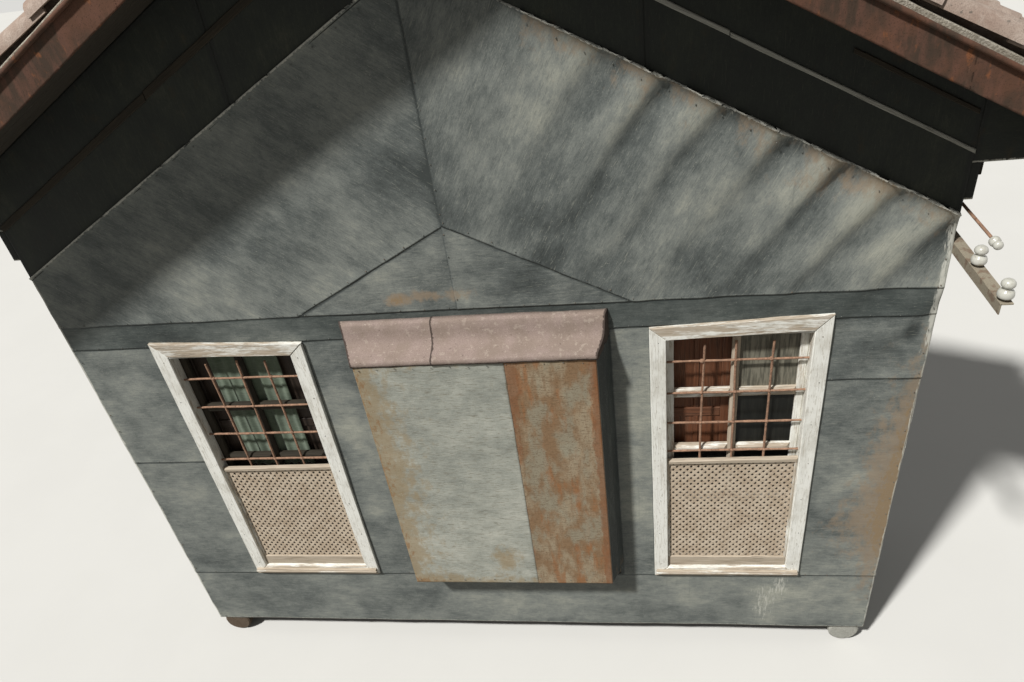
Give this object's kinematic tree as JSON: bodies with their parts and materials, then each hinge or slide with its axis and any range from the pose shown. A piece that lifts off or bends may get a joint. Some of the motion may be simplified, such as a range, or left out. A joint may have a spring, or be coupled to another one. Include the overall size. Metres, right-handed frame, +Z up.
{
  "type": "projecting mashrabiya bay",
  "caption": "Gabled timber bay that stands out from a house wall, clad in sheet metal, with lattice screens and iron bars in its windows and a boxed projection between them.",
  "frame": {"origin": "on the house wall's face, in the cut end of the middle carrying log, level with the bottom edge of the sheet metal", "axes": "+X to the right along the front as seen from the street, +Y into the house wall, +Z up"},
  "size_m": [5.54, 1.621, 5.2806],
  "materials": {
    "rough_timber": "rough weathered timber",
    "bleached_log": "sun-bleached timber",
    "floor_wood": "worn boards",
    "wall_boards": "dull lime-washed boards",
    "grey_sheet": "weathered zinc-coated sheet",
    "dark_sheet": "dark weathered zinc-coated sheet",
    "pale_sheet": "pale zinc-coated sheet with rust stains",
    "rusty_sheet": "rusted sheet",
    "mineral_felt": "granular bitumen felt",
    "flaking_paint": "flaking off-white paint on old wood",
    "screen_wood": "weathered brown paint on laths",
    "rusty_iron": "rusted iron",
    "cloth": "thin faded cloth",
    "dark_paint": "dark brown paint",
    "red_brown_paint": "old red-brown paint",
    "old_glass": "dusty dark glass",
    "dark_boards": "dark weathered boards",
    "clay_tile": "weathered fired clay",
    "porcelain": "glazed porcelain"
  },
  "bodies": {
    "root": {"left_log": "rough_timber", "middle_log": "rough_timber", "right_log": "bleached_log", "front_beam": "rough_timber", "floor_joists": "rough_timber", "floor_boards": "floor_wood", "front_wall": "wall_boards", "left_wall": "wall_boards", "right_wall": "wall_boards", "base_sheet": "grey_sheet", "left_pier_sheet": "grey_sheet", "left_inner_sheet": "grey_sheet", "right_inner_sheet": "grey_sheet", "right_pier_sheet": "grey_sheet", "head_sheet": "dark_sheet", "left_gable_sheet": "grey_sheet", "right_gable_sheet": "grey_sheet", "gable_apron": "grey_sheet", "left_side_sheet": "grey_sheet", "right_side_sheet": "grey_sheet", "box_frame": "rough_timber", "box_front_sheet": "pale_sheet", "box_rusty_sheet": "rusty_sheet", "box_side_sheets": "dark_sheet", "box_cap_left": "mineral_felt", "box_cap_right": "mineral_felt", "left_casing": "flaking_paint", "left_bars": "rusty_iron", "left_screen_frame": "screen_wood", "left_lattice_upper": "screen_wood", "left_lattice_lower": "screen_wood", "left_casements": "flaking_paint", "left_curtain": "cloth", "left_shutters": "dark_paint", "right_casing": "flaking_paint", "right_bars": "rusty_iron", "right_screen_frame": "screen_wood", "right_lattice_upper": "screen_wood", "right_lattice_lower": "screen_wood", "right_casements": "flaking_paint", "right_panes": "old_glass", "right_shutters": "red_brown_paint", "gable_frieze": "dark_boards", "ridge_beam": "rough_timber", "left_rafters": "rough_timber", "right_rafters": "rough_timber", "left_verge_soffit": "dark_boards", "right_verge_soffit": "dark_boards", "left_eaves": "dark_boards", "right_eaves": "dark_boards", "left_roof_boards": "floor_wood", "right_roof_boards": "floor_wood", "left_fascia": "rusty_sheet", "right_fascia": "rusty_sheet", "left_tiles": "clay_tile", "right_tiles": "clay_tile", "ridge_tiles": "clay_tile", "insulator_bracket": "rusty_iron", "insulators": "porcelain"}
  },
  "joints": []
}
